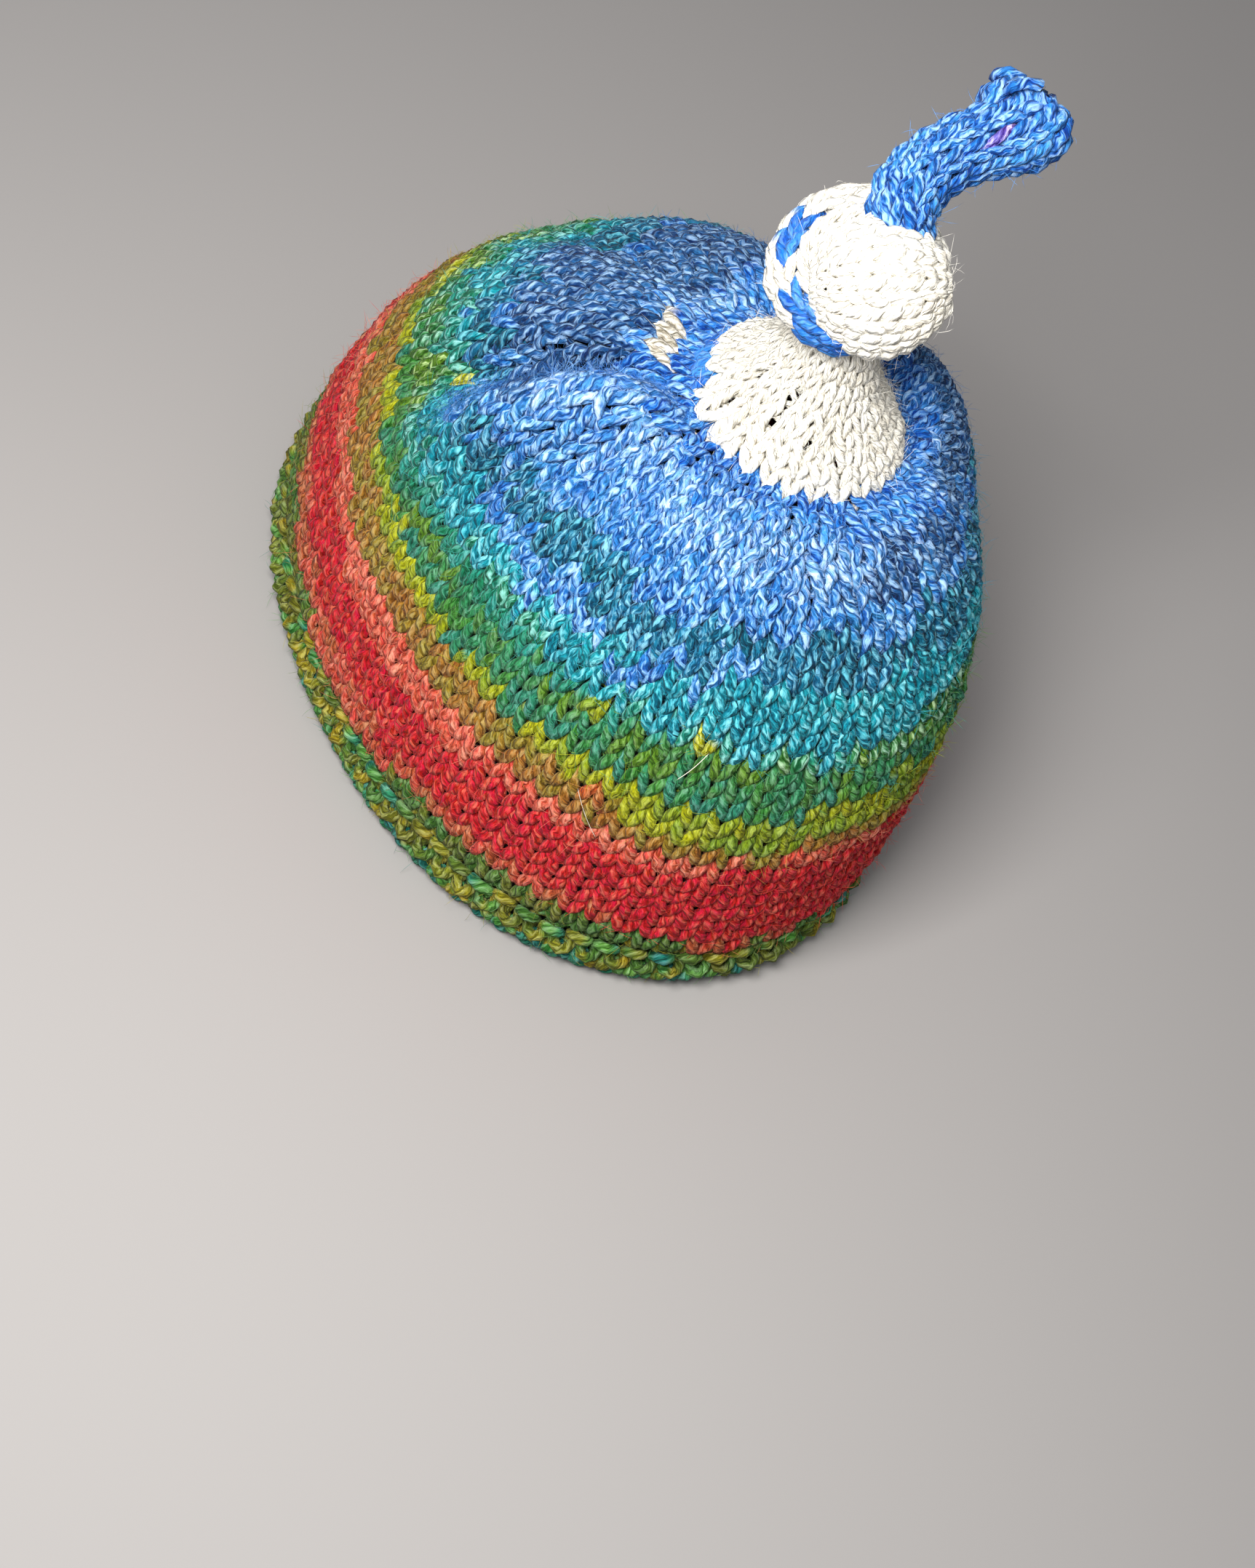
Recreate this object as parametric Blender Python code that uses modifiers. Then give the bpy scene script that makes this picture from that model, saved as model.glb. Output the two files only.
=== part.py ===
"""Hand-knitted top knot beanie, resting on its brim.

The hat is knitted upwards from the brim: a rolled edge with a ridge of purl bumps, a striped
side, a blue crown that puffs over a few folds, and a white gathered stem. The stem runs into a
white knitted cord, tied in one overhand knot, whose blue end stands up out of the knot.
Metres, +Z up, the long way of the head along Y.
"""
import math

import bmesh
import bpy
import numpy as np
from mathutils import Matrix, Vector

# The head opening and the dome
HEAD_LENGTH = 0.193
HEAD_BREADTH = 0.151
DOME_HEIGHT = 0.122
BRIM_HEIGHT = 0.0145
SIDE_HEIGHT = 0.0640
KNIT_WALL = 0.0036
SEAM_GAP = 0.0004

# Where the crown is pulled to, and how many degrees its rounds tip down towards +X and +Y
CROWN_LEAN = Vector((0.0025, -0.0196))
CROWN_TIP = (3.43, 3.55)

# How late on the way up the lean sets in, the oval turns round and the slope levels out, as
# powers of the share of the rows
LEAN_POWER = 2
OVAL_POWER = 3
SLOPE_POWER = 6

# The stem, the knot and the free end
STEM_RADIUS = 0.0255
STEM_HEIGHT = 0.0225
NECK_RADIUS = 0.0098
STEM_WALL = 0.0030
CORD_RADIUS = 0.0074
LOOP_WIDTH = 0.0118
LOOP_HEIGHT = 0.0108
LOBE_WIDTH = 0.0152
LOBE_HEIGHT = 0.0142
LOBE_DEPTH = 0.0118
KNOT_RISE = 0.0175
KNOT_LEAN = Vector((-0.0028, 0.0032))
TAIL_LENGTH = 0.0400
TAIL_RADIUS = 0.0076
TAIL_GAP = 0.0004

# Middle of the fat front of the knot, in cord radii across, up and out
LOBE_PLACE = Vector((0.45, -0.60, 0.80))

# The way the front of the knot looks: turned from +X, tipped up, and rolled
KNOT_TURN = -140.9
KNOT_TIP = 50.9
KNOT_ROLL = 33.0

# How finely the pieces are divided, round and along
SIDE_STEPS = 48
SIDE_ROUNDS = 7
CROWN_STEPS = 72
CROWN_ROUNDS = 14
STEM_STEPS = 28
LOBE_STEPS = 20
LOBE_ROUNDS = 12
LOOP_POINTS = 20
TAIL_POINTS = 16
CORD_BEVEL = 4
TABLE_SAMPLES = 400

# Length of the short end rounds that keep a shell's rims square, in seam gaps
RIM_ROUND = 2

# Step that a slope is measured over, and how near two points are welded
SLOPE_STEP = 1e-3
WELD_GAP = 1e-5

# Colours of the yarn in each piece, and its dull finish
YARN_COLOURS = {
    "brim_edge": (0.10, 0.26, 0.14),
    "striped_side": (0.50, 0.06, 0.04),
    "blue_crown": (0.08, 0.22, 0.58),
    "white_stem": (0.86, 0.82, 0.72),
    "top_knot": (0.88, 0.84, 0.75),
    "blue_tail": (0.10, 0.28, 0.68),
}
YARN_ROUGHNESS = 0.9

# Rounds of the dome: share of the way up the rows, of the brim's girth, and of the dome's height
DOME_ROUNDS = (
    # rows, girth, height
    (0.00, 1.000, 0.000),
    (0.13, 0.998, 0.160),
    (0.27, 0.976, 0.322),
    (0.40, 0.940, 0.482),
    (0.53, 0.872, 0.638),
    (0.66, 0.764, 0.782),
    (0.79, 0.616, 0.905),
    (0.92, 0.420, 0.990),
    (1.00, None, 1.000),
)

# Folds and puffs of the crown: degrees at the stem and at the fold's outer end, the rows where
# it starts and where it is deepest, its half width in degrees, and its height in knit walls
CROWN_FOLDS = (
    # at_stem, at_end, start, deepest, half_width, lift
    (168, 150, 0.50, 0.88, 9.0, -2.4),
    (192, 174, 0.45, 0.84, 14.0, 1.0),
    (132, 124, 0.50, 0.84, 15.0, 0.7),
    (102, 100, 0.50, 0.86, 9.0, -1.3),
    (72, 74, 0.50, 0.86, 16.0, 0.8),
    (4, 4, 0.40, 0.84, 26.0, 1.5),
    (-34, -30, 0.60, 0.90, 8.0, -0.8),
)

# Outline of the brim's edge, all round its section: knit walls outwards, share of its height
BRIM_SECTION = (
    # out, up
    (-0.90, 0.00),
    (-0.15, 0.00),
    (0.22, 0.11),
    (0.34, 0.27),
    (0.16, 0.42),
    (0.00, 0.58),
    (0.00, 1.00),
    (-1.00, 1.00),
    (-1.00, 0.08),
)

# The stem from its foot to its neck: share of its height, and of the way in from foot to neck
STEM_ROUNDS = (
    # up, drawn_in
    (0.00, 0.00),
    (0.12, 0.12),
    (0.30, 0.36),
    (0.50, 0.63),
    (0.70, 0.84),
    (0.88, 0.97),
    (1.00, 1.00),
)

# The cord's loop round the left and top of the knot: degrees round it and cord radii outwards
LOOP_TURN = (
    # degrees, out
    (-40, -1.20),
    (0, -0.90),
    (45, -0.45),
    (90, -0.25),
    (135, -0.10),
    (180, 0.05),
    (225, 0.20),
    (265, 0.30),
)

# The cord from the stem's neck to the middle of the knot: shares of the way up and across
NECK_ROUTE = (
    # up, across, girth
    (0.00, 0.0, 1.00),
    (0.25, 0.0, 0.97),
    (0.63, 0.5, 0.97),
    (1.00, 1.0, 1.00),
)
NECK_END_GIRTH = 0.80

# The blue free end: shares of its length across, up and out from the knot, and of its girth
TAIL_ROUTE = (
    # across, up, out, girth
    (0.190, 0.345, 0.10, 0.90),
    (0.215, 0.430, 0.10, 0.98),
    (0.310, 0.500, 0.09, 1.00),
    (0.440, 0.565, 0.08, 0.98),
    (0.590, 0.625, 0.06, 1.00),
    (0.740, 0.695, 0.05, 1.08),
    (0.880, 0.745, 0.04, 1.24),
    (0.960, 0.765, 0.03, 1.18),
)


def smooth(columns, at):
    """Read a table's columns at the given first-column values, on a curve through its rows.

    Each stretch is a cubic whose end slopes are those of the line through the rows either side.
    """
    rows = np.asarray(columns, dtype=float)
    x, y = rows[:, 0], rows[:, 1:]
    slope = np.gradient(y, x, axis=0)
    at = np.clip(np.atleast_1d(at), x[0], x[-1])
    low = np.clip(np.searchsorted(x, at, side="right") - 1, 0, len(x) - 2)
    step = (x[low + 1] - x[low])[:, None]
    s = ((at - x[low])[:, None]) / step
    return (
        (2 * s**3 - 3 * s**2 + 1) * y[low]
        + (s**3 - 2 * s**2 + s) * step * slope[low]
        + (3 * s**2 - 2 * s**3) * y[low + 1]
        + (s**3 - s**2) * step * slope[low + 1]
    )


def girth_radius():
    """Mean radius of the brim."""
    return (HEAD_LENGTH + HEAD_BREADTH) / 4


def dome_rounds():
    """The dome's table with its last round closed in to the stem's foot."""
    foot = STEM_RADIUS / girth_radius()
    return [(rows, foot if girth is None else girth, height) for rows, girth, height in DOME_ROUNDS]


def plain_dome(rows, turn):
    """Points of the dome without folds: an oval that narrows, leans and slopes as it rises."""
    girth, height = smooth(dome_rounds(), rows).T
    oval = (HEAD_LENGTH - HEAD_BREADTH) / (HEAD_LENGTH + HEAD_BREADTH)
    fade = 1 - rows**OVAL_POWER
    radius = girth_radius() * girth * (1 - oval * fade * np.cos(2 * turn))
    x = radius * np.cos(turn) + CROWN_LEAN.x * rows**LEAN_POWER
    y = radius * np.sin(turn) + CROWN_LEAN.y * rows**LEAN_POWER
    tip_x, tip_y = np.tan(np.radians(CROWN_TIP))
    drop = rows * (1 - rows**SLOPE_POWER) * (tip_x * x + tip_y * y)
    return np.stack([x, y, DOME_HEIGHT * height - drop], axis=-1)


def fold_lift(rows, turn):
    """Height of the folds over the plain dome: a bell across each fold, a hump along it."""
    lift = np.zeros_like(rows)
    for at_stem, at_end, start, deepest, half_width, height in CROWN_FOLDS:
        along = np.clip((rows - start) / (1 - start), 0, 1)
        middle = np.radians(at_end + (at_stem - at_end) * along)
        across = np.degrees(np.abs(np.angle(np.exp(1j * (turn - middle)))))
        rise = np.clip((rows - start) / (deepest - start), 0, 1)
        fall = np.clip((1 - rows) / (1 - deepest), 0, 1)
        hump = np.sin(rise * math.pi / 2) ** 2 * np.sin(fall * math.pi / 2) ** 2
        lift += height * KNIT_WALL * hump * np.exp(-((across / half_width) ** 2))
    return lift


def dome(rows, turn):
    """Points of the dome's outer face, with its folds raised along its normals."""
    above = plain_dome(np.minimum(rows + SLOPE_STEP, 1), turn)
    below = plain_dome(np.maximum(rows - SLOPE_STEP, 0), turn)
    around = plain_dome(rows, turn + SLOPE_STEP) - plain_dome(rows, turn - SLOPE_STEP)
    normal = np.cross(around, above - below)
    normal /= np.linalg.norm(normal, axis=-1, keepdims=True)
    return plain_dome(rows, turn) + normal * fold_lift(rows, turn)[:, None]


def rows_at_height(height):
    """Share of the rows at which the dome has the given height."""
    rows = np.linspace(0, 1, TABLE_SAMPLES)
    heights = smooth(dome_rounds(), rows)[:, 1] * DOME_HEIGHT
    return float(np.interp(height, heights, rows))


def turns(steps):
    """Angles of the points of one round."""
    return np.linspace(0, 2 * math.pi, steps, endpoint=False)


def loft(name, rounds, ring_of_rounds):
    """A mesh object skinned over rounds of points, the last joined to the first where asked."""
    rounds = [np.asarray(points) for points in rounds]
    steps = len(rounds[0])
    form = bmesh.new()
    rings = [[form.verts.new(point) for point in points] for points in rounds]
    pairs = list(zip(rings, rings[1:]))
    if ring_of_rounds:
        pairs.append((rings[-1], rings[0]))
    for low, high in pairs:
        for i in range(steps):
            j = (i + 1) % steps
            form.faces.new((low[i], low[j], high[j], high[i]))
    bmesh.ops.recalc_face_normals(form, faces=form.faces)
    mesh = bpy.data.meshes.new(name)
    form.to_mesh(mesh)
    form.free()
    mesh.shade_smooth()
    return bpy.data.objects.new(name, mesh)


def knit_shell(name, rounds, wall):
    """A knitted tube: an open skin of rounds, thickened inwards."""
    piece = loft(name, rounds, ring_of_rounds=False)
    thick = piece.modifiers.new("knit wall", "SOLIDIFY")
    thick.thickness = wall
    thick.offset = -1
    thick.use_even_offset = True
    return piece


def make_brim_edge():
    """The rolled edge with its purl ridge, flat below where the hat rests."""
    turn = turns(SIDE_STEPS)
    outwards = np.stack([np.cos(turn), np.sin(turn), np.zeros(SIDE_STEPS)], axis=-1)
    rounds = []
    for out, up in BRIM_SECTION:
        rows = np.full(SIDE_STEPS, rows_at_height(up * BRIM_HEIGHT))
        rounds.append(dome(rows, turn) + outwards * out * KNIT_WALL)
    return loft("brim_edge", rounds, ring_of_rounds=True)


def dome_shell(name, low, high, count, steps):
    """The part of the dome between two shares of its rows, short of its lower seam by a gap.

    A short first and last round keep the rims square to the face.
    """
    seam = SEAM_GAP / DOME_HEIGHT
    low = low + seam
    rims = (low + RIM_ROUND * seam, high - RIM_ROUND * seam)
    shares = np.sort(np.append(np.linspace(low, high, count), rims))
    turn = turns(steps)
    rounds = [dome(np.full(steps, share), turn) for share in shares]
    return knit_shell(name, rounds, KNIT_WALL)


def make_striped_side():
    """The striped side between the edge and the crown."""
    low = rows_at_height(BRIM_HEIGHT)
    high = rows_at_height(BRIM_HEIGHT + SIDE_HEIGHT)
    return dome_shell("striped_side", low, high, SIDE_ROUNDS, SIDE_STEPS)


def make_blue_crown():
    """The folded crown, which closes in to the stem's foot."""
    low = rows_at_height(BRIM_HEIGHT + SIDE_HEIGHT)
    return dome_shell("blue_crown", low, 1.0, CROWN_ROUNDS, CROWN_STEPS)


def stem_foot():
    """Middle of the stem's foot, a seam's gap above the crown."""
    return Vector((CROWN_LEAN.x, CROWN_LEAN.y, DOME_HEIGHT + SEAM_GAP))


def make_white_stem():
    """The white gathered stem, a soft cone that is open into the hat."""
    foot = stem_foot()
    turn = turns(STEM_STEPS)
    rounds = []
    for up, drawn_in in STEM_ROUNDS:
        radius = STEM_RADIUS + (NECK_RADIUS - STEM_RADIUS) * drawn_in
        height = foot.z + up * STEM_HEIGHT
        rounds.append(
            np.stack(
                [
                    foot.x + radius * np.cos(turn),
                    foot.y + radius * np.sin(turn),
                    np.full(STEM_STEPS, height),
                ],
                axis=-1,
            )
        )
    return knit_shell("white_stem", rounds, STEM_WALL)


def knot_axes():
    """The knot's own axes as columns: across, up and out of its front."""
    turn, tip, roll = (math.radians(angle) for angle in (KNOT_TURN, KNOT_TIP, KNOT_ROLL))
    out = Vector((math.cos(tip) * math.cos(turn), math.cos(tip) * math.sin(turn), math.sin(tip)))
    level = Vector((-math.sin(turn), math.cos(turn), 0))
    upright = out.cross(level)
    across = level * math.cos(roll) + upright * math.sin(roll)
    up = upright * math.cos(roll) - level * math.sin(roll)
    return Matrix((across, up, out)).transposed()


def knot_centre():
    """Middle of the knot, above the stem's neck."""
    return stem_foot() + Vector((*KNOT_LEAN, STEM_HEIGHT + KNOT_RISE))


def in_knot(across, up, out):
    """A point given along the knot's own axes."""
    return knot_centre() + knot_axes() @ Vector((across, up, out))


def cord(name, points, girths, radius):
    """A knitted cord as a curve object: a round tube through the points, with closed ends."""
    curve = bpy.data.curves.new(name, "CURVE")
    curve.dimensions = "3D"
    curve.bevel_depth = radius
    curve.bevel_resolution = CORD_BEVEL
    curve.use_fill_caps = True
    spline = curve.splines.new("POLY")
    spline.points.add(len(points) - 1)
    for place, point, girth in zip(spline.points, points, girths):
        place.co = (*point, 1)
        place.radius = girth
    return bpy.data.objects.new(name, curve)


def as_mesh(piece):
    """The mesh of a curve object, welded at its caps, in place of the curve."""
    bpy.context.collection.objects.link(piece)
    bpy.context.view_layer.update()
    evaluated = piece.evaluated_get(bpy.context.evaluated_depsgraph_get())
    mesh = bpy.data.meshes.new_from_object(evaluated)
    name = piece.name
    place = piece.matrix_world.copy()
    bpy.data.objects.remove(piece)
    form = bmesh.new()
    form.from_mesh(mesh)
    bmesh.ops.remove_doubles(form, verts=form.verts, dist=WELD_GAP)
    bmesh.ops.recalc_face_normals(form, faces=form.faces)
    form.to_mesh(mesh)
    form.free()
    mesh.shade_smooth()
    solid = bpy.data.objects.new(name, mesh)
    solid.matrix_world = place
    return solid


def lobe_middle():
    """Middle of the fat strand at the front of the knot."""
    return in_knot(*(LOBE_PLACE * CORD_RADIUS))


def make_lobe():
    """The fat front of the knot, where the cord passes over itself."""
    form = bmesh.new()
    bmesh.ops.create_uvsphere(form, u_segments=LOBE_STEPS, v_segments=LOBE_ROUNDS, radius=1)
    axes = knot_axes().to_4x4()
    size = Matrix.Diagonal((LOBE_WIDTH, LOBE_HEIGHT, LOBE_DEPTH, 1))
    middle = lobe_middle()
    bmesh.ops.transform(form, matrix=Matrix.Translation(middle) @ axes @ size, verts=form.verts)
    mesh = bpy.data.meshes.new("top_knot")
    form.to_mesh(mesh)
    form.free()
    mesh.shade_smooth()
    return bpy.data.objects.new("top_knot", mesh)


def make_loop():
    """The cord's turn round the left and top of the knot."""
    degrees = np.linspace(LOOP_TURN[0][0], LOOP_TURN[-1][0], LOOP_POINTS)
    outs = smooth(LOOP_TURN, degrees)[:, 0]
    points = [
        in_knot(
            LOOP_WIDTH * math.cos(math.radians(angle)),
            LOOP_HEIGHT * math.sin(math.radians(angle)),
            out * CORD_RADIUS,
        )
        for angle, out in zip(degrees, outs)
    ]
    return as_mesh(cord("knot_loop", points, np.ones(len(points)), CORD_RADIUS))


def make_neck():
    """The cord where it rises from the stem, through the loop and into the lobe."""
    foot = stem_foot() + Vector((0, 0, STEM_HEIGHT + SEAM_GAP))
    way = knot_centre() - foot
    points = [foot + Vector((way.x * side, way.y * side, way.z * up)) for up, side, _ in NECK_ROUTE]
    girths = [girth for _, _, girth in NECK_ROUTE]
    points.append(lobe_middle())
    girths.append(NECK_END_GIRTH)
    return as_mesh(cord("knot_neck", points, girths, NECK_RADIUS))


def tail_path():
    """Points and girths along the middle of the free end."""
    stations = [(i, *row) for i, row in enumerate(TAIL_ROUTE)]
    along = np.linspace(0, len(TAIL_ROUTE) - 1, TAIL_POINTS)
    across, up, out, girth = smooth(stations, along).T
    places = zip(across * TAIL_LENGTH, up * TAIL_LENGTH, out * TAIL_LENGTH)
    return [in_knot(*place) for place in places], girth


def make_tail_socket():
    """The hole in the knot that the free end comes out of, wider than it by a gap."""
    points, girths = tail_path()
    back = (points[0] - points[1]).normalized() * TAIL_GAP
    wider = (TAIL_RADIUS + TAIL_GAP) / TAIL_RADIUS
    return as_mesh(cord("tail_socket", [points[0] + back, *points[1:]], girths * wider, TAIL_RADIUS))


def make_top_knot(helpers):
    """The overhand knot as one body: lobe, loop and neck joined, and a hole for the free end."""
    knot = make_lobe()
    steps = ((make_loop(), "UNION"), (make_neck(), "UNION"), (make_tail_socket(), "DIFFERENCE"))
    for piece, operation in steps:
        helpers.objects.link(piece)
        piece.hide_render = True
        piece.display_type = "WIRE"
        step = knot.modifiers.new(piece.name, "BOOLEAN")
        step.operation = operation
        step.object = piece
    return knot


def make_blue_tail():
    """The blue free end, which stands out of the knot and flares at its tip."""
    points, girths = tail_path()
    return as_mesh(cord("blue_tail", points, girths, TAIL_RADIUS))


def colour(piece):
    """Give a piece the colour of its yarn."""
    material = bpy.data.materials.new(piece.name + "_yarn")
    material.use_nodes = True
    shader = material.node_tree.nodes["Principled BSDF"]
    shader.inputs["Base Color"].default_value = (*YARN_COLOURS[piece.name], 1)
    shader.inputs["Roughness"].default_value = YARN_ROUGHNESS
    shader.inputs["Metallic"].default_value = 0
    piece.data.materials.append(material)


def build():
    """Clear the scene, then make every piece of the hat and colour it."""
    for old in list(bpy.data.objects):
        bpy.data.objects.remove(old)
    hat = bpy.data.collections.new("top_knot_beanie")
    helpers = bpy.data.collections.new("helpers")
    bpy.context.scene.collection.children.link(hat)
    bpy.context.scene.collection.children.link(helpers)
    pieces = (
        make_brim_edge(),
        make_striped_side(),
        make_blue_crown(),
        make_white_stem(),
        make_top_knot(helpers),
        make_blue_tail(),
    )
    for piece in pieces:
        hat.objects.link(piece)
        colour(piece)


build()
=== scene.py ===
import bpy
import numpy as np
from mathutils import Matrix, Vector


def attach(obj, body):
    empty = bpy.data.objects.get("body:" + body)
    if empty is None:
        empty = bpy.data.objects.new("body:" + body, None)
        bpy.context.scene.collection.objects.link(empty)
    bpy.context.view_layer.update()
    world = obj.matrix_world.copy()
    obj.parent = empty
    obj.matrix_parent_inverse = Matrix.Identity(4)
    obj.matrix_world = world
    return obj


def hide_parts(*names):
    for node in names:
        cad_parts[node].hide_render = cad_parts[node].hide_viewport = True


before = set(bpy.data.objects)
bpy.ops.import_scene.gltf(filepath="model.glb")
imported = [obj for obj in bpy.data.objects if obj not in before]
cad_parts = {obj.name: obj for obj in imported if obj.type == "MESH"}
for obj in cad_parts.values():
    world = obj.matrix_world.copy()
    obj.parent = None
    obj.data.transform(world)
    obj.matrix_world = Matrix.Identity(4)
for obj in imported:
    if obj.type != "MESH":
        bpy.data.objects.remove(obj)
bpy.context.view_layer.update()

# Camera
# The camera looks steeply down on the hat at the photograph's angle, with the knot near the top
# right. Its axes, across, up and out towards it, are the knot's own axes too.
CAMERA_PLACE = (-0.30729, -0.28832, 0.48497)  # metres
VIEW_TURN, VIEW_TIP, VIEW_ROLL = -140.9, 50.9, 33.0  # degrees
LENS = 70.957  # mm, for a picture of 1725 by 2156 pixels
SENSOR_WIDTH = 36  # mm
NEAREST_SEEN = 0.01  # metres


def turned_axes(turn, tip, roll):
    """Columns across, up and out: out points along a turn and a tip above the level, and across
    and up turn about it by a roll, all in degrees."""
    turn, tip, roll = np.radians([turn, tip, roll])
    out = np.array([np.cos(tip) * np.cos(turn), np.cos(tip) * np.sin(turn), np.sin(tip)])
    level = np.array([-np.sin(turn), np.cos(turn), 0])
    upright = np.cross(out, level)
    across = level * np.cos(roll) + upright * np.sin(roll)
    up = upright * np.cos(roll) - level * np.sin(roll)
    return np.stack([across, up, out], axis=1)


view_axes = turned_axes(VIEW_TURN, VIEW_TIP, VIEW_ROLL)
camera = bpy.data.objects.new("camera", bpy.data.cameras.new("camera"))
camera.data.lens = LENS
camera.data.sensor_fit = "HORIZONTAL"
camera.data.sensor_width = SENSOR_WIDTH
camera.data.clip_start = NEAREST_SEEN
camera.matrix_world = Matrix.Translation(CAMERA_PLACE) @ Matrix(view_axes.tolist()).to_4x4()
bpy.context.collection.objects.link(camera)
bpy.context.scene.camera = camera
bpy.context.scene.view_settings.view_transform = "Standard"

# Floor and light
# The floor is plain, pale and matt. One soft light hangs just before the camera, left of its line
# of sight, with a broad weak fill from the upper right and an even sky.
FLOOR_REACH = 3.0  # metres
FLOOR_COLOUR = (0.34, 0.32, 0.305)
FLOOR_ROUGHNESS = 0.9
LIGHT_AIM = (0, -0.02, 0.13)
# name, metres across, up and out from the aim along the camera's axes, width in metres, watts
LIGHTS = (
    ("key_light", -0.09, 0.03, 0.45, 0.2, 4.5),
    ("fill_light", 0.7, 0.5, 0.7, 1.0, 0.3),
)
SKY_COLOUR = (0.93, 0.95, 1.0)
SKY_STRENGTH = 0.38

floor_mesh = bpy.data.meshes.new("floor")
corners = [(x * FLOOR_REACH, y * FLOOR_REACH, 0) for x, y in ((-1, -1), (1, -1), (1, 1), (-1, 1))]
floor_mesh.from_pydata(corners, [], [(0, 1, 2, 3)])
floor = bpy.data.objects.new("floor", floor_mesh)
bpy.context.collection.objects.link(floor)
floor_finish = bpy.data.materials.new("pale_floor")
floor_finish.use_nodes = True
floor_shader = floor_finish.node_tree.nodes["Principled BSDF"]
floor_shader.inputs["Base Color"].default_value = (*FLOOR_COLOUR, 1)
floor_shader.inputs["Roughness"].default_value = FLOOR_ROUGHNESS
floor_mesh.materials.append(floor_finish)

for name, across, up, out, width, watts in LIGHTS:
    light = bpy.data.objects.new(name, bpy.data.lights.new(name, "AREA"))
    light.data.size = width
    light.data.energy = watts
    place = Vector(LIGHT_AIM) + Vector(view_axes @ (across, up, out))
    light.location = place
    light.rotation_euler = (place - Vector(LIGHT_AIM)).to_track_quat("Z", "Y").to_euler()
    bpy.context.collection.objects.link(light)

sky = bpy.data.worlds.new("sky")
sky.use_nodes = True
sky_shader = sky.node_tree.nodes["Background"]
sky_shader.inputs["Color"].default_value = (*SKY_COLOUR, 1)
sky_shader.inputs["Strength"].default_value = SKY_STRENGTH
bpy.context.scene.world = sky

# Brim edge
# The cast-on edge of the hat, three rounds of plied wool. A rope-like edge coils round the foot,
# and one purled round makes a ridge of green and mustard beads. The stitches hold each other.
BRIM_LENGTH = 0.193  # metres, outside
BRIM_BREADTH = 0.151
DOME_HEIGHT = 0.122
GIRTH_RADIUS = (BRIM_LENGTH + BRIM_BREADTH) / 4
OVAL = (BRIM_LENGTH - BRIM_BREADTH) / (BRIM_LENGTH + BRIM_BREADTH)
STEM_RADIUS = 0.0255
NECK_RADIUS = 0.0098
STEM_HEIGHT = 0.0229  # the seam gap under it included
KNOT_RISE = 0.0175
KNOT_LEAN = (-0.0028, 0.0032)
CROWN_LEAN = (0.0025, -0.0196)
CROWN_TIP = (3.43, 3.55)  # degrees
LEAN_POWER = 2
OVAL_POWER = 3
SLOPE_POWER = 6
KNIT_WALL = 0.0036
CROWN_ROUND = 30  # rounds from the brim to the foot of the stem
NECK_ROUND = 38
KNOT_ROUND = 41.5
# share of the rounds to the stem, girth, height
DOME_ROUNDS = (
    (0, 1, 0),
    (0.13, 0.998, 0.160),
    (0.27, 0.976, 0.322),
    (0.40, 0.940, 0.482),
    (0.53, 0.872, 0.638),
    (0.66, 0.764, 0.782),
    (0.79, 0.616, 0.905),
    (0.92, 0.420, 0.990),
)
# round, share of the stem's height, share drawn in from the stem's foot to its neck
STEM_ROUNDS = (
    (30, 0, 0),
    (30.9, 0.12, 0.12),
    (32.5, 0.30, 0.36),
    (34.3, 0.50, 0.63),
    (35.9, 0.70, 0.84),
    (37.2, 0.88, 0.97),
    (38, 1, 1),
)
# degrees round at the stem and at its outer end, start and deepest share, half width in degrees,
# lift in walls
CROWN_FOLDS = (
    (162, 143, 0.40, 0.82, 7.5, -3.0),
    (181, 162, 0.34, 0.82, 10, 3.2),
    (132, 124, 0.50, 0.84, 15, 0.7),
    (102, 100, 0.50, 0.86, 9, -1.3),
    (72, 74, 0.50, 0.86, 16, 0.8),
    (4, 4, 0.40, 0.84, 26, 1.5),
    (-34, -30, 0.60, 0.90, 8, -0.8),
)
# round, radius, height
profile = [
    (CROWN_ROUND * share, GIRTH_RADIUS * girth, DOME_HEIGHT * high)
    for share, girth, high in DOME_ROUNDS
]
profile += [
    (at, STEM_RADIUS + (NECK_RADIUS - STEM_RADIUS) * drawn, DOME_HEIGHT + STEM_HEIGHT * up)
    for at, up, drawn in STEM_ROUNDS
]
profile.append((KNOT_ROUND, NECK_RADIUS, DOME_HEIGHT + STEM_HEIGHT + KNOT_RISE))


def smooth(table, at):
    """Columns of a table at any place along its first column: cubic Hermite pieces through the
    rows, whose slopes are the rows' own central differences."""
    table = np.asarray(table, float)
    x, y = table[:, 0], table[:, 1:]
    slope = np.gradient(y, x, axis=0)
    at = np.clip(at, x[0], x[-1])
    k = np.clip(np.searchsorted(x, at, side="right") - 1, 0, len(x) - 2)
    gap = (x[k + 1] - x[k])[..., None]
    s = (at[..., None] - x[k][..., None]) / gap
    ends = y[k] * (1 + 2 * s) * (1 - s) ** 2 + y[k + 1] * s**2 * (3 - 2 * s)
    return ends + gap * (slope[k] * s * (1 - s) ** 2 - slope[k + 1] * s**2 * (1 - s))


def ease(x):
    """0 below 0, 1 above 1 and a smooth S between: three squares less two cubes."""
    x = np.clip(x, 0, 1)
    return x * x * (3 - 2 * x)


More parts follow.
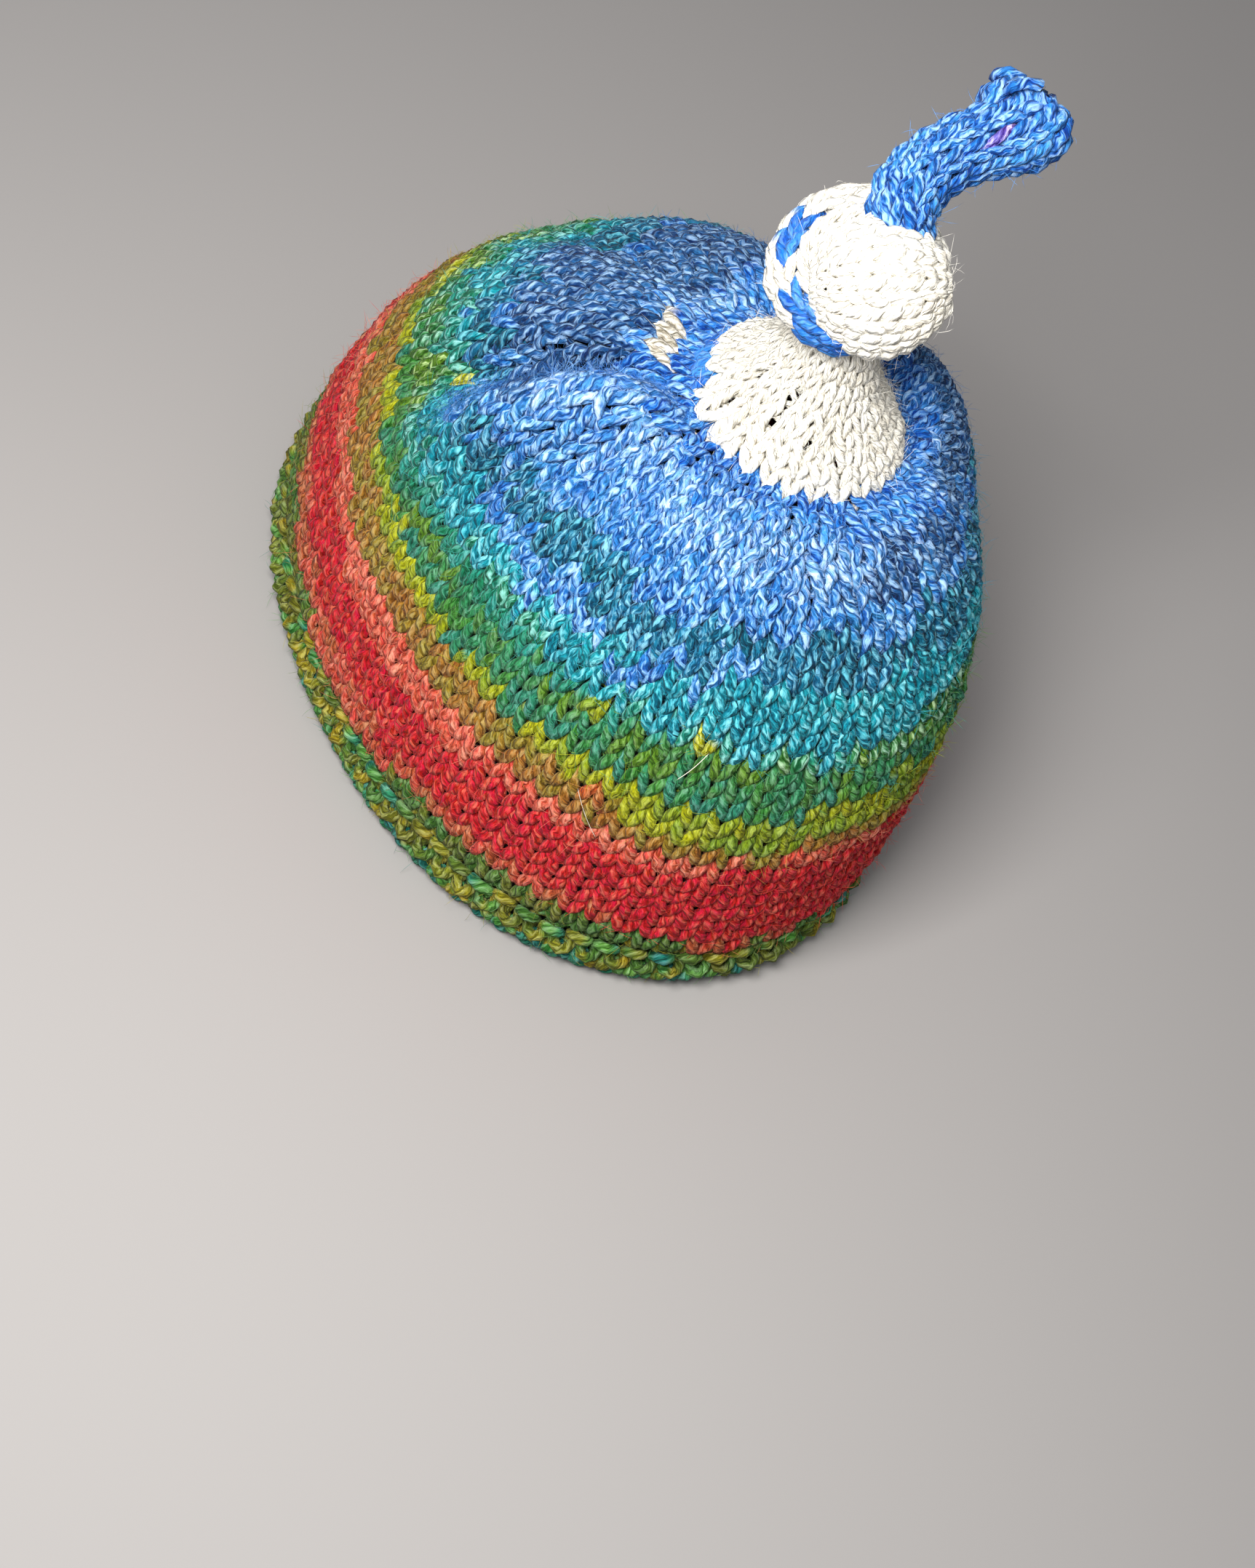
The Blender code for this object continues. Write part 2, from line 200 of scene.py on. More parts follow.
def hat_form(at, turn):
    """The hat's outside: an oval that rounds off towards the stem, leans with the square of the
    share and drops on one side, and above the stem's foot a round cone that runs into the knot."""
    share = np.clip(at / CROWN_ROUND, 0, 1)
    radius, height = np.moveaxis(smooth(profile, at), -1, 0)
    radius = radius * (1 - OVAL * (1 - share**OVAL_POWER) * np.cos(2 * turn))
    to_knot = ease((at - NECK_ROUND) / (KNOT_ROUND - NECK_ROUND))
    x = radius * np.cos(turn) + CROWN_LEAN[0] * share**LEAN_POWER + KNOT_LEAN[0] * to_knot
    y = radius * np.sin(turn) + CROWN_LEAN[1] * share**LEAN_POWER + KNOT_LEAN[1] * to_knot
    tip_x, tip_y = np.tan(np.radians(CROWN_TIP))
    drop = share * (1 - share**SLOPE_POWER) * (tip_x * x + tip_y * y)
    return np.stack([x, y, height - drop], axis=-1)


def fold_lift(at, turn):
    """How far the crown's folds lift or sink the wall: for each fold a bell across it, times a
    sine hump along it."""
    share = np.clip(at / CROWN_ROUND, 0, 1)
    lift = np.zeros(np.broadcast(at, turn).shape)
    for at_stem, at_end, start, deepest, half_width, walls in CROWN_FOLDS:
        along = np.clip((share - start) / (1 - start), 0, 1)
        middle = at_end + (at_stem - at_end) * along
        across = (np.degrees(turn) - middle + 180) % 360 - 180
        rise = np.clip((share - start) / (deepest - start), 0, 1)
        fall = np.clip((1 - share) / (1 - deepest), 0, 1)
        hump = (np.sin(rise * np.pi / 2) * np.sin(fall * np.pi / 2)) ** 2
        lift += walls * KNIT_WALL * hump * np.exp(-((across / half_width) ** 2))
    return lift


def face_normal(form, at, turn):
    """Unit normals of a form: the cross product of small steps round it and up it."""
    step = 0.02  # radians and rounds
    around = form(at, turn + step) - form(at, turn - step)
    upward = form(at + step, turn) - form(at - step, turn)
    normal = np.cross(around, upward)
    return normal / np.linalg.norm(normal, axis=-1, keepdims=True)


BRIM_BULGE = 0.0011  # metres that the purled ridge stands proud
BRIM_BULGE_ROUND = 1.4
BRIM_BULGE_WIDTH = 0.9  # rounds


def hat(at, turn, depth):
    """Points under the hat's face at a depth, and their normals. The folds and a bell at the
    brim's ridge lift the face."""
    normal = face_normal(hat_form, at, turn)
    ridge = BRIM_BULGE * np.exp(-(((at - BRIM_BULGE_ROUND) / BRIM_BULGE_WIDTH) ** 2))
    lift = fold_lift(at, turn) + ridge - depth
    return hat_form(at, turn) + normal * lift[..., None], normal


# holes between stitches where the stem is gathered: round, degrees round the hat
EYELETS = ((34.6, 173), (31.5, 155.5), (31.8, 180), (35.1, 209), (33.2, 210), (33.2, 239), (31.8, 263))
EYELET_PUSH = 0.00095  # metres that the yarn beside a hole is pushed aside
EYELET_REACH = 0.0022  # metres
STEM_ROUND_HEIGHT = 0.0032  # metres


def pushed(at, turn, points):
    """The yarn's turns, pushed away from the eyelets along the round: each pushes one way on its
    left and the other on its right, within a bell as wide as its reach."""
    radius = np.linalg.norm(points[:, :2] - np.array(CROWN_LEAN), axis=1)
    for eyelet_at, degrees in EYELETS:
        gap = ((turn - np.radians(degrees) + np.pi) % (2 * np.pi) - np.pi) * radius
        rise = (at - eyelet_at) * STEM_ROUND_HEIGHT
        bell = np.exp(-(gap**2 + rise**2) / EYELET_REACH**2)
        turn = turn + EYELET_PUSH / radius * np.sign(gap) * bell
    return turn


GOLDEN = 0.618
MERGE_EASE = 0.5  # share by which the stitches even out their places in each pass
MERGE_PASSES = 4


def lay_wales(counts):
    """Angles of the stitches of each round and the stitch that each runs into in the next. Where
    a round has fewer stitches, the missing ones are knitted together with their neighbours, at
    places spread evenly with a shift by the golden ratio."""
    angles = [(np.arange(counts[0]) + 0.5) * 2 * np.pi / counts[0]]
    above = []
    for number, (now, after) in enumerate(zip(counts, counts[1:])):
        together = np.zeros(now, bool)
        places = (np.arange(now - after) + number * GOLDEN % 1) * (now - 1) / max(now - after, 1)
        together[1 + places.astype(int)] = True
        child = np.arange(now) - np.cumsum(together)
        middle = np.bincount(child, angles[-1]) / np.bincount(child)
        for _ in range(MERGE_PASSES):
            gaps = np.diff(np.append(middle, middle[0] + 2 * np.pi))
            middle = middle + MERGE_EASE / 2 * (gaps - np.roll(gaps, 1))
        above.append(child)
        angles.append(middle)
    above.append(np.arange(counts[-1]))
    return angles, above


STITCHES = 86  # round the brim
STITCH_POINTS = 16
YARN_DEPTH = 0.0019  # metres that the middle of the fabric lies under the hat's face
LEG_LIFT = 0.0014  # metres that a stitch's legs stand out from the middle of the fabric
PURL_LIFT = 1.5  # times as much for the beads of a purled round
LEG_LEAN = 0.25  # of a stitch's width
LEG_SWELL = 0.16  # share by which the yarn is thicker where it stands out
LOOP_REACH = 1.04  # of a round, that a loop reaches above and below its middle
FULL_WIDTH = 0.0055  # metres a stitch at which the yarn has its full thickness
SQUEEZE = (0.55, 1.13)  # least and greatest share of it in narrower and wider stitches
STRETCH = 1.4  # times as thick at most where a fold takes more yarn than the rest of the round
MERGED_SINK = 0.0007  # metres that a stitch knitted together lies behind its neighbour
# how much the stitches differ, as shares of their lean, lift and thickness
LEAN_SPREAD, LIFT_SPREAD, GIRTH_SPREAD = 0.10, 0.12, 0.04
RISE_SPREAD = 0.07  # of a round, for how high they reach
DEPTH_SPREAD = 0.00012  # metres
draw = np.random.default_rng(7)


def stitch_round(form, number, angles, child, next_angles, purl=0, purl_above=0, foot=None):
    """The yarn of one round of stitches, a closed line of points with their normals, turns and
    thickness. Along a stitch, t runs once round. The yarn swings to and fro twice while it climbs
    to the loop's head and comes back, and it lies in front of the fabric in its legs and behind
    it in its head and foot, or the other way round where it is purled. It is thicker where a
    stitch is wide, where it stands out, and where a fold takes more yarn."""
    count = len(angles)
    t = np.arange(STITCH_POINTS) * 2 * np.pi / STITCH_POINTS
    rise = (1 - np.cos(t)) / 2
    lean_by, rise_by, lift_by, depth_by, girth_by = draw.normal(size=(5, count, 1))
    swing = t / (2 * np.pi) - 0.5 + LEG_LEAN * (1 + LEAN_SPREAD * lean_by) * np.sin(2 * t)
    padded = np.concatenate([[angles[-1] - 2 * np.pi], angles, [angles[0] + 2 * np.pi]])
    place = np.arange(count)[:, None] + swing
    turn = np.interp(place, np.arange(-1, count + 1), padded)
    shift = (next_angles[child] - angles + np.pi) % (2 * np.pi) - np.pi
    turn = turn + shift[:, None] * ease(rise)
    at = number + 0.5 - LOOP_REACH * np.cos(t) + RISE_SPREAD * rise_by * rise
    if foot is not None:
        low, high = number + 0.5 - LOOP_REACH, number + 0.5 + LOOP_REACH
        at = foot + (at - low) * (high - foot) / (2 * LOOP_REACH)
    side = (-PURL_LIFT if purl else 1) * (1 - rise) + (-PURL_LIFT if purl_above else 1) * rise
    out = -LEG_LIFT * side * np.cos(2 * t) * (1 + LIFT_SPREAD * lift_by) + DEPTH_SPREAD * depth_by
    doubled = np.diff(child, prepend=-1) == 0
    out = out - MERGED_SINK * doubled[:, None] * rise
    turn, at, out = turn.ravel(), np.broadcast_to(at, turn.shape).ravel(), out.ravel()
    points, normals = form(at, turn, YARN_DEPTH - out)
    if form is hat and CROWN_ROUND - 1 < number < NECK_ROUND:
        points, normals = form(at, pushed(at, turn, points), YARN_DEPTH - out)
    around = np.linalg.norm(np.roll(points, -STITCH_POINTS, axis=0) - points, axis=1).mean()
    steps = np.linalg.norm(np.roll(points, -1, axis=0) - points, axis=1)
    stretch = sum(np.roll(steps, k) for k in range(-STITCH_POINTS // 2, STITCH_POINTS // 2))
    squeeze = np.clip(around / FULL_WIDTH, *SQUEEZE) * np.clip(stretch / stretch.mean(), 1, STRETCH)
    swell = 1 + GIRTH_SPREAD * girth_by - LEG_SWELL * np.sign(side) * np.cos(2 * t)
    return points, normals, turn, squeeze * swell.ravel()


YARN_SIDES = 7
YARN_RADIUS = 0.00106  # metres
YARN_SECTION = (0.93, 1.07)  # share of the radius through the fabric and along it


def yarn_tube(points, normals, thickness, radius=YARN_RADIUS):
    """A closed tube round a closed line. Its ring of sides lies across the line's direction, a
    little wider along the fabric than through it. Returns the points of the tube and the length
    along it at each ring."""
    steps = np.linalg.norm(np.roll(points, -1, axis=0) - points, axis=1)
    length = np.concatenate([[0], np.cumsum(steps)])
    along = np.roll(points, -1, axis=0) - np.roll(points, 1, axis=0)
    along /= np.linalg.norm(along, axis=1, keepdims=True)
    beside = np.cross(along, normals)
    beside /= np.linalg.norm(beside, axis=1, keepdims=True)
    outward = np.cross(beside, along)
    turn = np.arange(YARN_SIDES)[:, None] * 2 * np.pi / YARN_SIDES
    deep, wide = YARN_SECTION
    ring = deep * np.cos(turn) * outward[:, None] + wide * np.sin(turn) * beside[:, None]
    return points[:, None] + radius * thickness[:, None, None] * ring, length


WANDER_STOPS = 4096


def wander(along, size, seed):
    """A slow random run between 0 and 1 along the yarn: straight lines between random values
    that lie a size apart."""
    stops = np.random.default_rng(seed).random(WANDER_STOPS)
    return np.interp(along / size % (WANDER_STOPS - 1), np.arange(WANDER_STOPS), stops)


def linear(red, green, blue):
    """A colour of 0 to 255 as read on a screen, turned into the shader's linear scale."""
    c = np.array([red, green, blue]) / 255
    return np.where(c < 0.04045, c / 12.92, ((c + 0.055) / 1.055) ** 2.4)


# each yarn colour with the second colour that it is blended with
DYES = {
    "teal": (linear(24, 104, 94), linear(52, 134, 96)),
    "leaf": (linear(50, 118, 48), linear(92, 146, 62)),
    "mustard": (linear(148, 132, 22), linear(112, 122, 32)),
    "olive": (linear(104, 106, 26), linear(62, 108, 40)),
    "coral": (linear(196, 82, 58), linear(172, 92, 48)),
    "red": (linear(184, 24, 16), linear(196, 42, 30)),
    "pink": (linear(202, 86, 58), linear(214, 110, 82)),
    "ochre": (linear(156, 106, 38), linear(138, 120, 32)),
    "lime": (linear(154, 158, 12), linear(110, 138, 26)),
    "sea": (linear(58, 126, 50), linear(40, 122, 98)),
    "green": (linear(80, 124, 28), linear(46, 124, 82)),
    "sea_green": (linear(22, 116, 84), linear(36, 136, 122)),
    "turquoise": (linear(2, 116, 138), linear(30, 150, 164)),
    "cornflower": (linear(32, 98, 176), linear(72, 138, 202)),
    "deep_teal": (linear(2, 80, 108), linear(22, 104, 144)),
    "pale": (linear(112, 158, 212), linear(60, 118, 192)),
    "blue": (linear(26, 92, 186), linear(66, 134, 214)),
    # a darker blue for behind the deepest fold and the right of the crown: partly the yarn's own darker
    # blue, partly painted shade
    "deep_blue_partly_painted_shade": (linear(22, 62, 118), linear(46, 96, 156)),
    "cream": (linear(240, 235, 221), linear(233, 226, 209)),
    "orange": (linear(186, 92, 36), linear(172, 102, 44)),
    "rose": (linear(146, 92, 172), linear(100, 106, 196)),
    # the undyed cream yarn darkened: painted shade on the stitches behind the deepest fold
    "cream_in_painted_shade": (linear(208, 200, 182), linear(194, 186, 166)),
}
# degrees round the hat at which each column of the next table is read
COLOUR_TURNS = (110, 150, 175, 200, 220, 235, 255, 285)
# colour, and the round at which it starts at each of those places
COLOUR_STARTS = (
    ("olive", 0, 0, 0, 0, 0, 0, 0, 0),
    ("coral", 7.0, 5.0, 3.2, 3.0, 3.9, 3.9, 3.6, 3.4),
    ("red", 8.8, 6.8, 5.0, 4.6, 5.0, 5.0, 3.9, 3.5),
    ("pink", 12.0, 9.8, 8.0, 8.0, 8.8, 9.2, 9.6, 10.4),
    ("ochre", 13.8, 11.5, 9.7, 9.7, 10.1, 10.2, 10.4, 11.2),
    ("lime", 16.2, 14.0, 12.2, 12.0, 12.2, 11.4, 11.0, 12.0),
    ("sea", 17.2, 15.0, 13.2, 12.6, 12.8, 13.1, 13.2, 14.2),
    ("green", 18.0, 15.8, 14.0, 13.6, 13.7, 14.0, 14.2, 15.2),
    ("sea_green", 19.4, 16.8, 15.0, 14.7, 15.0, 15.9, 16.2, 17.4),
    ("turquoise", 20.0, 18.2, 16.8, 16.6, 16.3, 16.6, 16.6, 17.6),
    ("cornflower", 21.0, 19.6, 18.6, 17.9, 17.6, 18.8, 20.2, 20.5),
    ("deep_teal", 21.0, 19.8, 19.6, 20.0, 19.5, 19.5, 20.2, 20.5),
    ("cornflower", 22.6, 21.2, 20.5, 21.5, 21.4, 21.6, 22.4, 22.8),
    # behind the deepest fold (110 and 150 degrees) and on the right (285 degrees), this darker blue is
    # partly painted shade
    ("deep_blue_partly_painted_shade", 22.8, 21.6, 23.0, 24.2, 23.8, 23.6, 24.3, 24.5),
    ("pale", 28.0, 27.0, 23.0, 24.2, 23.8, 23.6, 24.3, 26.5),
    ("blue", 28.5, 27.5, 27.0, 27.0, 27.3, 27.3, 27.0, 27.0),
    ("cream", 31.0, 31.0, 30.0, 30.0, 30.0, 30.0, 30.0, 30.0),
)
# single stitches of another colour: colour, round, first and last degrees round the hat
STRAYS = (
    ("orange", 11, 233, 237.2),
    ("lime", 15, 225, 229.2),
    ("lime", 16, 242.5, 246.7),
    ("lime", 18, 149, 153.2),
    # undyed stitches behind the deepest fold, in a darkened cream that is painted shade
    ("cream_in_painted_shade", 28, 123, 150),
)
# rounds, and how many rounds the border of two colours wanders over there
RAGGED = ((12, 0.7), (18, 2.2), (27, 2.2), (29, 0.2))
RAGGED_RUN = 0.026  # metres of yarn
SHORT_RUN, LONG_RUN = 0.009, 0.04  # metres of yarn in which a dye's shade changes
SHORT_SHARE, LONG_SHARE = 0.65, 0.35
SHADE_SPREAD, SHADE_SHIFT = 2.2, 0.6  # pull the shades apart before they are eased


def shaded(first, second, along):
    """Mix of two shades of a dye that wanders along the yarn in long and short runs: their
    weighted sum, pulled apart and eased."""
    short, long = wander(along, SHORT_RUN, seed=3), wander(along, LONG_RUN, seed=5)
    mix = ease(SHADE_SPREAD * (SHORT_SHARE * short + LONG_SHARE * long) - SHADE_SHIFT)
    return first + (second - first) * mix[:, None]


def hat_dye(number, turn, along):
    """Colour along the yarn of one round of the hat. The round is looked up among the starts of
    the colours at that turn, and the yarn runs between the two shades of its dye."""
    degrees = np.degrees(turn) % 360
    starts = np.array([np.interp(degrees, COLOUR_TURNS, row[1:], period=360) for row in COLOUR_STARTS])
    ragged = np.interp(number, *np.transpose(RAGGED))
    level = number + 0.5 + ragged * (wander(along, RAGGED_RUN, seed=11) - 0.5)
    which = np.clip((level >= starts).sum(axis=0) - 1, 0, None)
    first, second = (np.array([DYES[row[0]][part] for row in COLOUR_STARTS])[which] for part in (0, 1))
    for name, stray_round, low, high in STRAYS:
        here = (number == stray_round) & (degrees > low) & (degrees < high)
        first[here], second[here] = DYES[name]
    return shaded(first, second, along)


def patched_dye(ground, patch=None, patches=()):
    """A dye function of one colour all over, with patches of another. Each patch is a round and
    its first and last degrees."""

    def dye(number, turn, along):
        first, second = (np.tile(shade, (len(turn), 1)) for shade in DYES[ground])
        for patch_round, low, high in patches:
            here = (number == patch_round) & ((np.degrees(turn) - low) % 360 < high - low)
            first[here], second[here] = DYES[patch]
        return shaded(first, second, along)

    return dye


def wire(tree, kind, inputs=(), **settings):
    """A new node with its settings and inputs: numbers and colours are set and sockets linked."""
    node = tree.nodes.new(kind)
    for key, value in settings.items():
        setattr(node, key, value)
    for key, value in dict(inputs).items():
        if isinstance(value, bpy.types.NodeSocket):
            tree.links.new(value, node.inputs[key])
        else:
            node.inputs[key].default_value = value
    return node


PLIES = 3
PLY_PITCH = 11.0  # mm of yarn in one turn of its plies
YARN_GIRTH = 6.7  # mm
SWAY_SCALE, SWAY = 0.35, 0.35  # uneven places of the twist in a mm of yarn, and their reach in turns
# cells of noise in a mm across the plies and along them, and its detail
LOCKS = (0.6, 0.32, 1.0)
FIBRES = (1.9, 0.55, 4.0)
FINE_FIBRES = (3.4, 1.0, 3.0)
LOCK_PUSH = 0.4  # of a turn, that the locks push the plies aside
# a value's two ends, and what it is turned into there if that isn't 0 and 1
LOCK_HUE = (0.25, 0.75, 0.488, 0.506)
FINE_SHADE = (0.3, 0.7, 0.62, 1.38)
# the next ramp, the fibres' weight in the grooves and the dark strokes place a painted shade: darker dye
# in the grooves between plies and between fibres
GROOVES = (1.25, 0.45)
DARK_STROKES = (0.50, 0.36, 0.0, 0.65)
# pale fibres, kept to the ply tops by the next ramp: partly real undyed fibres, partly a painted
# highlight
PALE_LOCKS = (0.44, 0.59)
PLY_TOP_PAINTED_HIGHLIGHT = (0.4, 1.0)
NOISE_ROUGHNESS = 0.6
GROOVE_FIBRES = 0.9  # weight of the fibres in the grooves' edges
PALE_WEIGHTS = (0.45, 0.55)  # of fibres and locks in the pale places
HEIGHTS = (0.7, 0.5, 0.4)  # of plies, fibres and fine fibres
PLY_ROUNDNESS = 0.9  # power
# the darker dye of that painted shade
PAINTED_SHADE_GAMMA, PAINTED_SHADE_SATURATION, PAINTED_SHADE_VALUE = 1.4, 1.2, 0.4
PALE_GAMMA = 0.3


def build_plied_yarn():
    """Node group for plied wool. Its place is the millimetres along the yarn and the share of the
    way round it, which turn with the plies. Each ply is a rounded ridge, the size of a sine of
    the turn, and fibres run along it as streaks of coarse and fine noise. It puts out the dye,
    marled a little from lock to lock, with a painted shade that darkens it in the grooves
    between the plies and between the fibres, and pale fibres that show only on the ply tops,
    partly as real undyed fibres and partly as a painted highlight, and a height for the bump."""
    group = bpy.data.node_groups.new("plied_yarn", "ShaderNodeTree")
    for name, way, kind, value in (
        ("Place", "INPUT", "Vector", None),
        ("Dye", "INPUT", "Color", (0.5, 0.5, 0.5, 1)),
        ("Pale Fibres And Painted Highlight", "INPUT", "Float", 0.5),
        ("Painted Gap Shade", "INPUT", "Float", 0.5),
        ("Colour", "OUTPUT", "Color", None),
        ("Height", "OUTPUT", "Float", None),
    ):
        socket = group.interface.new_socket(name=name, in_out=way, socket_type="NodeSocket" + kind)
        if value is not None:
            socket.default_value = value
    start = group.nodes.new("NodeGroupInput").outputs
    end = group.nodes.new("NodeGroupOutput").inputs

    def add(a, b):
        """The sum of two values."""
        return wire(group, "ShaderNodeMath", {0: a, 1: b}, operation="ADD").outputs[0]

    def times(a, b):
        """The product of two values."""
        return wire(group, "ShaderNodeMath", {0: a, 1: b}, operation="MULTIPLY").outputs[0]

    def streaks(across, lengthwise, detail):
        """Noise stretched along the plies."""
        point = {0: times(phase, across * YARN_GIRTH), 1: times(along, lengthwise)}
        point = wire(group, "ShaderNodeCombineXYZ", point).outputs[0]
        inputs = {"Vector": point, "Scale": 1.0, "Detail": detail, "Roughness": NOISE_ROUGHNESS}
        return wire(group, "ShaderNodeTexNoise", inputs, noise_dimensions="2D").outputs[0]

    def ramp(value, low, high, first=0.0, last=1.0):
        """The value's place between low and high, from first to last."""
        inputs = {0: value, 1: low, 2: high, 3: first, 4: last}
        return wire(group, "ShaderNodeMapRange", inputs).outputs[0]

    def mixed(share, first, second):
        """Two colours mixed by a share of the second."""
        inputs = {0: share, 6: first, 7: second}
        return wire(group, "ShaderNodeMix", inputs, data_type="RGBA").outputs[2]

    def toned(colour, hue=0.5, saturation=1.0, value=1.0):
        """A colour with its hue turned and its saturation and value multiplied."""
        inputs = {"Hue": hue, "Saturation": saturation, "Value": value, "Color": colour}
        return wire(group, "ShaderNodeHueSaturation", inputs).outputs[0]

    along, around = wire(group, "ShaderNodeSeparateXYZ", {0: start["Place"]}).outputs[:2]
    sway = {"W": along, "Scale": SWAY_SCALE, "Detail": 1.0}
    sway = wire(group, "ShaderNodeTexNoise", sway, noise_dimensions="1D").outputs[0]
    phase = add(around, add(times(along, 1 / PLY_PITCH), times(sway, SWAY)))
    fibres, fine_fibres, locks = streaks(*FIBRES), streaks(*FINE_FIBRES), streaks(*LOCKS)
    wave = times(add(phase, times(locks, LOCK_PUSH)), PLIES * np.pi)
    wave = wire(group, "ShaderNodeMath", {0: wave}, operation="SINE").outputs[0]
    ridge = wire(group, "ShaderNodeMath", {0: wave}, operation="ABSOLUTE").outputs[0]
    marled = toned(start["Dye"], ramp(locks, *LOCK_HUE), value=ramp(fine_fibres, *FINE_SHADE))
    # painted shade: darker dye in the grooves between plies and in strokes between fibres
    painted_shade_share = {0: ramp(add(ridge, times(fibres, GROOVE_FIBRES)), *GROOVES), 1: ramp(fibres, *DARK_STROKES)}
    painted_shade_share = wire(group, "ShaderNodeMath", painted_shade_share, operation="MAXIMUM").outputs[0]
    deep = wire(group, "ShaderNodeGamma", {0: marled, 1: PAINTED_SHADE_GAMMA}).outputs[0]
    dark = toned(deep, saturation=PAINTED_SHADE_SATURATION, value=PAINTED_SHADE_VALUE)
    with_painted_shade = mixed(times(start["Painted Gap Shade"], painted_shade_share), marled, dark)
    # pale fibres kept to the ply tops: partly real undyed fibres, partly a painted highlight
    light = wire(group, "ShaderNodeGamma", {0: marled, 1: PALE_GAMMA}).outputs[0]
    pale = ramp(add(times(fibres, PALE_WEIGHTS[0]), times(locks, PALE_WEIGHTS[1])), *PALE_LOCKS)
    pale = times(times(pale, ramp(ridge, *PLY_TOP_PAINTED_HIGHLIGHT)), start["Pale Fibres And Painted Highlight"])
    rounded = wire(group, "ShaderNodeMath", {0: ridge, 1: PLY_ROUNDNESS}, operation="POWER").outputs[0]
    height = add(times(rounded, HEIGHTS[0]), times(fibres, HEIGHTS[1]))
    height = add(height, times(fine_fibres, HEIGHTS[2]))
    group.links.new(mixed(pale, with_painted_shade, light), end["Colour"])
    group.links.new(height, end["Height"])
    return group


plied_yarn = build_plied_yarn()
BUMP_DEPTH = 0.0005  # metres


def wool(name, roughness, gloss):
    """A new material with its node tree, its shader and the colour of the yarn's dye."""
    finish = bpy.data.materials.new(name)
    finish.use_nodes = True
    shader = finish.node_tree.nodes["Principled BSDF"]
    shader.inputs["Roughness"].default_value = roughness
    shader.inputs["Specular IOR Level"].default_value = gloss
    dye = wire(finish.node_tree, "ShaderNodeAttribute", attribute_name="dye")
    return finish, finish.node_tree, shader, dye.outputs["Color"]


def yarn_finish(name, pale, gaps, sheen):
    """Matt wool: the plied yarn group over the dye attribute, with a bump and a soft sheen. Its
    gaps set how much painted shade darkens the grooves, and its pale how many pale fibres show
    on the ply tops, partly as a painted highlight.
    """
    finish, tree, shader, dye = wool(name, roughness=0.85, gloss=0.15)
    shader.inputs["Sheen Weight"].default_value = sheen
    shader.inputs["Sheen Roughness"].default_value = 0.4
    place = wire(tree, "ShaderNodeUVMap", uv_map="yarn").outputs[0]
    inputs = {"Place": place, "Dye": dye, "Pale Fibres And Painted Highlight": pale, "Painted Gap Shade": gaps}
    yarn = wire(tree, "ShaderNodeGroup", inputs, node_tree=plied_yarn).outputs
    inputs = {"Strength": 1.0, "Distance": BUMP_DEPTH, "Height": yarn["Height"]}
    bump = wire(tree, "ShaderNodeBump", inputs).outputs[0]
    tree.links.new(yarn["Colour"], shader.inputs["Base Color"])
    tree.links.new(bump, shader.inputs["Normal"])
    return finish


def fibre_finish(name):
    """Fine loose wool in the colour that its points carry, a little less matt than the yarn."""
    finish, tree, shader, dye = wool(name, roughness=0.7, gloss=0.3)
    tree.links.new(dye, shader.inputs["Base Color"])
    return finish


def new_mesh(name, points, corners, starts, colours):
    """A smooth mesh of flat arrays: its points with their dye, the corners of all its faces in
    one row, and the place in that row where each face starts."""
    mesh = bpy.data.meshes.new(name)
    mesh.vertices.add(len(points))
    mesh.vertices.foreach_set("co", points.ravel())
    mesh.loops.add(len(corners))
    mesh.loops.foreach_set("vertex_index", corners.astype(np.int32))
    mesh.polygons.add(len(starts))
    mesh.polygons.foreach_set("loop_start", starts.astype(np.int32))
    mesh.update(calc_edges=True)
    mesh.validate()
    dye = mesh.color_attributes.new("dye", "FLOAT_COLOR", "POINT")
    dye.data.foreach_set("color", np.column_stack([colours, np.ones(len(colours))]).ravel())
    mesh.shade_smooth()
    return mesh


def dress(mesh, finish, slot, *nodes):
    """An object of a mesh that takes the place of CAD nodes."""
    mesh.materials.append(finish)
    piece = bpy.data.objects.new(mesh.name, mesh)
    bpy.context.collection.objects.link(piece)
    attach(piece, "root")
    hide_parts(*nodes)


def yarn_piece(name, runs, finish, slot, *nodes):
    """One mesh of closed yarn tubes. Each run is a tube's grid of points, its lengths and its
    colours. The first texture coordinate is the millimetres along the yarn and the second the
    share of the way round it."""
    corners, coordinates, starts = [], [], 0
    for tube, length, _ in runs:
        rings, sides = tube.shape[:2]
        i, j = np.meshgrid(np.arange(rings), np.arange(sides), indexing="ij")
        right, up = (i + 1) % rings, (j + 1) % sides
        quad = np.stack([i * sides + j, i * sides + up, right * sides + up, right * sides + j], axis=-1)
        corners.append(quad.ravel() + starts)
        u = 1000 * np.stack([length[i], length[i], length[i + 1], length[i + 1]], axis=-1)
        v = np.stack([j, j + 1, j + 1, j], axis=-1) / sides
        coordinates.append(np.stack([u, v], axis=-1).ravel())
        starts += rings * sides
    corners = np.concatenate(corners)
    points = np.concatenate([tube.reshape(-1, 3) for tube, _, _ in runs])
    colours = np.concatenate([np.repeat(colour, tube.shape[1], axis=0) for tube, _, colour in runs])
    mesh = new_mesh(name, points, corners, np.arange(0, len(corners), 4), colours)
    mesh.uv_layers.new(name="yarn").data.foreach_set("uv", np.concatenate(coordinates))
    dress(mesh, finish, slot, *nodes)


